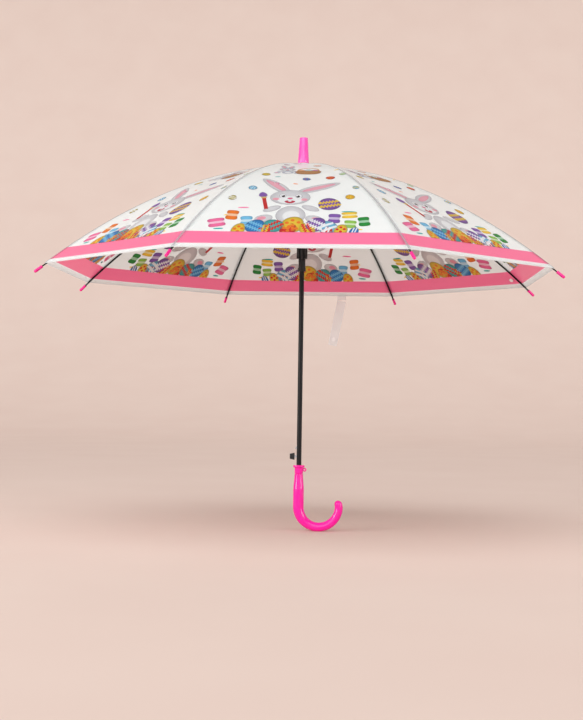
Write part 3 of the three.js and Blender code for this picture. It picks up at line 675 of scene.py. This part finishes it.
ink_flat = np.concatenate(ink.points) / 1000
ink_layer = np.concatenate(ink.layers)
ink_colour = np.concatenate(ink.colours)
ink_over = film_point(ink_flat[:, 0], ink_flat[:, 1], INK_LIFT + INK_STEP * ink_layer)
ink_under = film_point(ink_flat[:, 0], ink_flat[:, 1], -FILM_THICK - INK_LIFT - INK_STEP * ink_layer)
ink_faces = [face[::-1] for face in ink.faces] + [[ink.count + i for i in face] for face in ink.faces]
ink_finish = Finish("ink", Roughness=0.42, Coat_Weight=0.2, Coat_Roughness=0.2)
ink_read = ink_finish.node("ShaderNodeAttribute", attribute_name="ink")
ink_finish.feed("Base Color", ink_read.outputs["Color"])
ink_finish.glow(ink_read.outputs["Color"], 0.4)
for k in range(1, GORES + 1):
    points = gore_frame(np.concatenate([ink_over, ink_under]), k)
    printed = mesh_piece(f"print_{k}", points, ink_faces, ink_finish, closed=False)
    colour = printed.data.attributes.new("ink", "FLOAT_COLOR", "POINT")
    colour.data.foreach_set("color", np.tile(ink_colour, (2, 1)).astype(np.float32).ravel())
    follow_film(printed)

# ---- Hems ----------------------------------------------------------------------------------------
# The rim of each gore is turned under once and welded, which makes a stiffer and whiter edge 9 mm
# wide. It is the same film, in two more layers with a round fold.

HEM_GAP = 0.0004
HEM_TURN = 0.0066
hem_white = Finish("hem", Base_Color=linear(250, 250, 250), Roughness=0.35, Alpha=0.55,
                   Coat_Weight=0.3, Coat_Roughness=0.2)
hem_white.glow(linear(250, 250, 250), 0.6)
hem_white.bump(hem_white.noise(160, 3), 0.0003, 0.4)
hem_run = np.linspace(0, 1, 7)
hem_fold = np.linspace(0, np.pi, 7)[1:-1]
hem_half = (FILM_THICK + HEM_GAP) / 2
hem_in = RIM - HEM_TURN
hem_out = np.concatenate([
    hem_in + (RIM - hem_in) * hem_run, RIM + hem_half * np.sin(hem_fold), RIM + (hem_in - RIM) * hem_run])
hem_lift = np.concatenate([
    0 * hem_run + hem_half, hem_half * np.cos(hem_fold), 0 * hem_run - hem_half]) - FILM_THICK / 2
hem_share, hem_out_grid = np.meshgrid(np.linspace(0, 1, ACROSS), hem_out)
hem_across = (2 * hem_share - 1) * np.minimum(hem_out_grid, RIM) * math.tan(STEP / 2)
hem_points = film_point(hem_across, hem_out_grid, hem_lift[:, None])
hem_faces = [face[::-1] for face in grid_faces(len(hem_out), ACROSS)]
for k in range(1, GORES + 1):
    hem = mesh_piece(f"hem_{k}", gore_frame(hem_points, k), hem_faces, hem_white, closed=False)
    follow_film(hem)

# ---- Seams ---------------------------------------------------------------------------------------
# Neighbouring gores are welded together along each rib. The weld is a clear flattened ridge that
# runs from the centre to the corner, and each gore carries the half of it that is on its side.

SEAM_HALF = 0.0021
SEAM_LIFT = 0.00022
SEAM_START, SEAM_END = FILM_HOLE * 1.6, RIM - 0.001
SEAM_COLUMNS = 4
seam_film = Finish("seam", Base_Color=linear(196, 192, 196), Roughness=0.3, Alpha=0.42,
                   Coat_Weight=0.4, Coat_Roughness=0.15)
seam_film.bump(seam_film.noise(700, 2), 0.0001, 0.4)
seam_side, seam_radius = np.meshgrid(
    np.linspace(0, 1, SEAM_COLUMNS), np.linspace(SEAM_START, SEAM_END, ALONG))
seam_edge = seam_radius * math.tan(STEP / 2)
left_across = SEAM_HALF * seam_side - seam_edge
right_across = seam_edge - SEAM_HALF * (1 - seam_side)
seam_lift = SEAM_LIFT + 0 * seam_radius
seam_points = np.concatenate([
    film_point(across, seam_radius, seam_lift).reshape(-1, 3) for across in (left_across, right_across)])
one_side = [face[::-1] for face in grid_faces(ALONG, SEAM_COLUMNS)]
seam_faces = one_side + [[ALONG * SEAM_COLUMNS + i for i in face] for face in one_side]
for k in range(1, GORES + 1):
    seam = mesh_piece(f"seam_{k}", gore_frame(seam_points, k), seam_faces, seam_film, closed=False)
    follow_film(seam)

# ---- Ribs, rivets and stretchers -----------------------------------------------------------------
# Each rib is a black steel channel, open below, on a flat tongue that turns on the crown's wire. Its
# stretcher is riveted to a lug half way out and runs down to the runner.

for k in range(1, GORES + 1):
    smoothed(f"rib_{k}", f"rib_{k}", black_enamel)
    smoothed(f"stretcher_{k}", f"stretcher_{k}", black_enamel, bevel=0.0002)
    smoothed(f"rivet_{k}", f"rib_{k}", drawn_steel)

# ---- Rib tips ------------------------------------------------------------------------------------
# A pink cap of soft moulded plastic is pushed onto each rib's end. It has a round end and a small
# collar where the film's corner is hooked on.

TIP_RADIUS = 0.00245
TIP_BORE = 0.00175
TIP_LENGTH = 0.015
TIP_SOCKET = 0.010
TIP_GAP = 0.0045
TIP_START = CORNER + TIP_GAP * math.cos(math.atan(TOP_SLOPE + 2 * CURVATURE * CORNER))
PIVOT_RADIUS, PIVOT_BELOW, RIB_END_BELOW = 0.008, 0.005, 0.0025
RIB_START_BELOW = PIVOT_BELOW - fall(PIVOT_RADIUS)
RIB_CLOSING = (RIB_START_BELOW - RIB_END_BELOW) / (CORNER - PIVOT_RADIUS)
tip_round = np.linspace(0, np.pi / 2, 7)[1:]
tip_profile = np.concatenate([
    eased([(0, TIP_SOCKET), (TIP_BORE, TIP_SOCKET), (TIP_BORE, 0), (TIP_RADIUS, 0), (TIP_RADIUS, 0.0022),
           (TIP_RADIUS * 0.93, 0.0027), (TIP_RADIUS * 0.97, TIP_LENGTH - TIP_RADIUS)], 0.0002, 3),
    np.stack([TIP_RADIUS * 0.97 * np.cos(tip_round),
              TIP_LENGTH - TIP_RADIUS + TIP_RADIUS * np.sin(tip_round)], -1)])
tip_profile[-1, 0] = 0
tip_pink = Finish("tip_pink", Base_Color=linear(236, 34, 138), Roughness=0.24,
                  Subsurface_Weight=0.2, Subsurface_Radius=(0.003, 0.0009, 0.0015), Subsurface_Scale=1.0)
tip_pink.feed("Roughness", tip_pink.spread(tip_pink.noise(800, 3), 0.18, 0.32))


def along_rib(rib):
    """A place function: a turned piece's height becomes the distance along the end of a rib."""
    slope = math.atan(TOP_SLOPE + 2 * CURVATURE * CORNER - RIB_CLOSING)
    start = CANOPY_TOP - fall(TIP_START) - RIB_START_BELOW + RIB_CLOSING * (TIP_START - PIVOT_RADIUS)

    def place(points):
        side, across, out = np.moveaxis(points, -1, 0)
        x = TIP_START + out * math.cos(slope) + side * math.sin(slope)
        z = start - out * math.sin(slope) + side * math.cos(slope)
        return round_shaft(np.stack([x, across, z], -1), rib - 1)

    return place


for k in range(1, GORES + 1):
    tip = lathe(f"tip_cap_{k}", tip_profile, tip_pink, sides=24, place=along_rib(k))
    carried(tip, f"rib_{k}", f"tip_{k}")

# ---- Spring --------------------------------------------------------------------------------------
# A steel tension coil round the shaft under the film, from the crown to the runner. It pulls the
# runner up, and stretches to nearly four times its length when the umbrella is closed.

spring_low, spring_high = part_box("opening_spring")
SPRING_WIRE = 0.0006
COIL_TURNS, COIL_STEPS, WIRE_SIDES = 14, 24, 8
coil_rows = COIL_TURNS * COIL_STEPS + 1
spring_radius = spring_high[0] - SPRING_WIRE
turn_along, turn_round = np.meshgrid(
    np.linspace(0, 1, coil_rows), np.linspace(0, 2 * np.pi, WIRE_SIDES, endpoint=False), indexing="ij")
coil_angle = 2 * np.pi * COIL_TURNS * turn_along
coil_reach = spring_radius + SPRING_WIRE * np.cos(turn_round)
coil_height = spring_low[2] + SPRING_WIRE + (spring_high[2] - spring_low[2] - 2 * SPRING_WIRE) * turn_along
coil_points = np.stack([coil_reach * np.cos(coil_angle), coil_reach * np.sin(coil_angle),
                        coil_height + SPRING_WIRE * np.sin(turn_round)], -1)
coil_faces = grid_faces(coil_rows, WIRE_SIDES, wrap_columns=True, caps=True)
coil = mesh_piece("coil", coil_points, coil_faces, drawn_steel)
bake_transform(coil)
coil_places = np.empty(3 * len(coil.data.vertices), np.float32)
coil.data.vertices.foreach_get("co", coil_places)
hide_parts("opening_spring")

# ---- Runner --------------------------------------------------------------------------------------
# The sliding hub of black moulded plastic: a slotted block for the stretchers on a neck and flange,
# with a window in the neck for the catch. A second wire ring lies in its groove.

smoothed("runner", "runner", black_plastic)
smoothed("runner_wire", "runner", drawn_steel)

# ---- Collar --------------------------------------------------------------------------------------
# A moulded pink sleeve with a flange closes the top of the handle. An eyelet on its side takes a
# wrist cord, which this umbrella doesn't have.

collar_low, collar_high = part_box("collar")
COLLAR_FLANGE = -collar_low[0]
COLLAR_WALL, COLLAR_FLANGE_THICK, COLLAR_EASE = 0.0027, 0.004, 0.0009
COLLAR_NECK = SHAFT_RADIUS + FIT + COLLAR_WALL
collar_bore = SHAFT_RADIUS + FIT
collar_profile = eased([
    (collar_bore, collar_low[2]),
    (COLLAR_NECK, collar_low[2]),
    (COLLAR_NECK, collar_high[2] - COLLAR_FLANGE_THICK),
    (COLLAR_FLANGE, collar_high[2] - COLLAR_FLANGE_THICK),
    (COLLAR_FLANGE, collar_high[2]),
    (collar_bore, collar_high[2]),
], COLLAR_EASE, closed=True)
pink_plastic = Finish("pink_plastic", Base_Color=linear(248, 0, 160), Roughness=0.12,
                      Subsurface_Weight=0.1, Subsurface_Radius=(0.005, 0.001, 0.002),
                      Subsurface_Scale=1.0, Coat_Weight=0.5, Coat_Roughness=0.05,
                      Specular_IOR_Level=0.4)
pink_plastic.feed("Roughness", pink_plastic.spread(pink_plastic.noise(120, 3), 0.09, 0.18))
pink_plastic.bump(pink_plastic.noise(500, 2), 0.00003, 0.25)
sleeve = lathe("collar_sleeve", collar_profile, pink_plastic, sides=64, closed=True)
carried(sleeve, "root", "collar")

EYELET_RADIUS, EYELET_WIRE, EYELET_DROP = 0.0022, 0.00095, 0.0075
ring_round = np.linspace(0, 2 * np.pi, 16, endpoint=False)
eyelet_profile = np.stack(
    [EYELET_RADIUS + EYELET_WIRE * np.cos(ring_round), EYELET_WIRE * np.sin(ring_round)], -1)


def eyelet_place(points):
    """The ring stood on edge beside the collar's neck, so that its hole faces front and back."""
    x, y, z = np.moveaxis(points, -1, 0)
    return np.stack([x + COLLAR_NECK + EYELET_RADIUS, z, y + collar_high[2] - EYELET_DROP], -1)


eyelet = lathe("eyelet", eyelet_profile, pink_plastic, sides=32, place=eyelet_place,
               closed=True)
carried(eyelet, "root")

# ---- Handle --------------------------------------------------------------------------------------
# The hooked handle is one moulding of glossy hot-pink plastic. It narrows along the hook to a round
# end, and the shaft goes 40 mm into its straight grip.

GRIP_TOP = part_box("handle")[1][2]
GRIP_BELOW = 0.025
HOOK_RADIUS = 0.033
HOOK_RISE = 0.011
HOOK_LEAN = math.radians(8)
GRIP_TOP_RADIUS, GRIP_RADIUS = COLLAR_NECK, 0.00885
HOOK_RADIUS_BOTTOM, HOOK_RADIUS_END = 0.00745, 0.0065
MOUTH_LENGTH, MOUTH_SWELL, MOUTH_EASE = 0.003, 0.0001, 0.0009
straight = GRIP_TOP + GRIP_BELOW
bent = math.pi * HOOK_RADIUS
handle_length = straight + bent + HOOK_RISE


def smooth_step(t):
    """0 to 1, level at both ends."""
    t = np.clip(t, 0, 1)
    return t * t * (3 - 2 * t)


def handle_radius(s):
    """The handle's radius at a length from its top: swells, holds, narrows to the waist and the end."""
    waist = straight + bent / 2
    swell = GRIP_TOP_RADIUS + (GRIP_RADIUS - GRIP_TOP_RADIUS) * smooth_step(s / GRIP_TOP)
    narrow = (HOOK_RADIUS_BOTTOM - GRIP_RADIUS) * smooth_step((s - straight) / (waist - straight))
    end = (HOOK_RADIUS_END - HOOK_RADIUS_BOTTOM) * np.clip((s - waist) / (handle_length - waist), 0, 1)
    return swell + narrow + end


def hooked(points):
    """Bends a straight bar, whose height is the length from its top, along the grip and the hook."""
    x, y, s = np.moveaxis(points, -1, 0)
    angle = np.clip((s - straight) / HOOK_RADIUS, 0, np.pi)
    reach = HOOK_RADIUS - x
    past = np.maximum(0, s - straight - bent)
    bent_x = HOOK_RADIUS - reach * np.cos(angle) - past * math.sin(HOOK_LEAN)
    bent_z = -GRIP_BELOW - reach * np.sin(angle) + past * math.cos(HOOK_LEAN)
    on_hook = s > straight
    return np.stack([np.where(on_hook, bent_x, x), y, np.where(on_hook, bent_z, GRIP_TOP - s)], -1)


mouth = eased([(0, 0), (GRIP_TOP_RADIUS, 0), (GRIP_TOP_RADIUS + MOUTH_SWELL, MOUTH_LENGTH)],
              MOUTH_EASE)[:-1]
body_along = np.linspace(MOUTH_LENGTH, handle_length - HOOK_RADIUS_END, 120)
end_round = np.linspace(0, np.pi / 2, 13)[1:]
handle_profile = np.concatenate([
    mouth,
    np.stack([handle_radius(body_along), body_along], -1),
    np.stack([HOOK_RADIUS_END * np.cos(end_round),
              handle_length - HOOK_RADIUS_END + HOOK_RADIUS_END * np.sin(end_round)], -1)])
handle_profile[-1, 0] = 0
grip = lathe("hooked_handle", handle_profile, pink_plastic, sides=48, place=hooked)
carried(grip, "root", "handle")

# ---- Catch and button ----------------------------------------------------------------------------
# A flat spring-steel strip inside the shaft carries the nose that holds the closed runner, and a
# link out to the ridged button of black plastic.

smoothed("catch", "latch", drawn_steel, bevel=0.00015)
smoothed("button", "latch", black_plastic, bevel=0.0005)

# ---- Tie strap -----------------------------------------------------------------------------------
# A whitish film strap, sewn to a folded tab under a back gore's rim, hangs free and wraps round the
# closed umbrella. A snap stud near its square end fits the socket on the next gore.

strap_film = Finish("strap_film", Base_Color=linear(254, 254, 254), Roughness=0.24, Alpha=0.94,
                    Coat_Weight=0.4, Coat_Roughness=0.12)
strap_film.glow(linear(254, 254, 254), 0.5)
strap_film.bump(strap_film.noise(260, 3), 0.0002, 0.4)
smoothed("strap_tab", "strap_tab", strap_film, bevel=0.0004)
snap_plastic = Finish("snap_plastic", Base_Color=linear(252, 252, 252), Roughness=0.22, Coat_Weight=0.4,
                      Coat_Roughness=0.1)
snap_plastic.feed("Roughness", snap_plastic.spread(snap_plastic.noise(500, 3), 0.16, 0.3))
smoothed("snap_stud", "strap", snap_plastic, bevel=0.0003)
smoothed("snap_socket", "rib_4", snap_plastic, bevel=0.0003)
strap = smoothed("strap", "strap", strap_film)
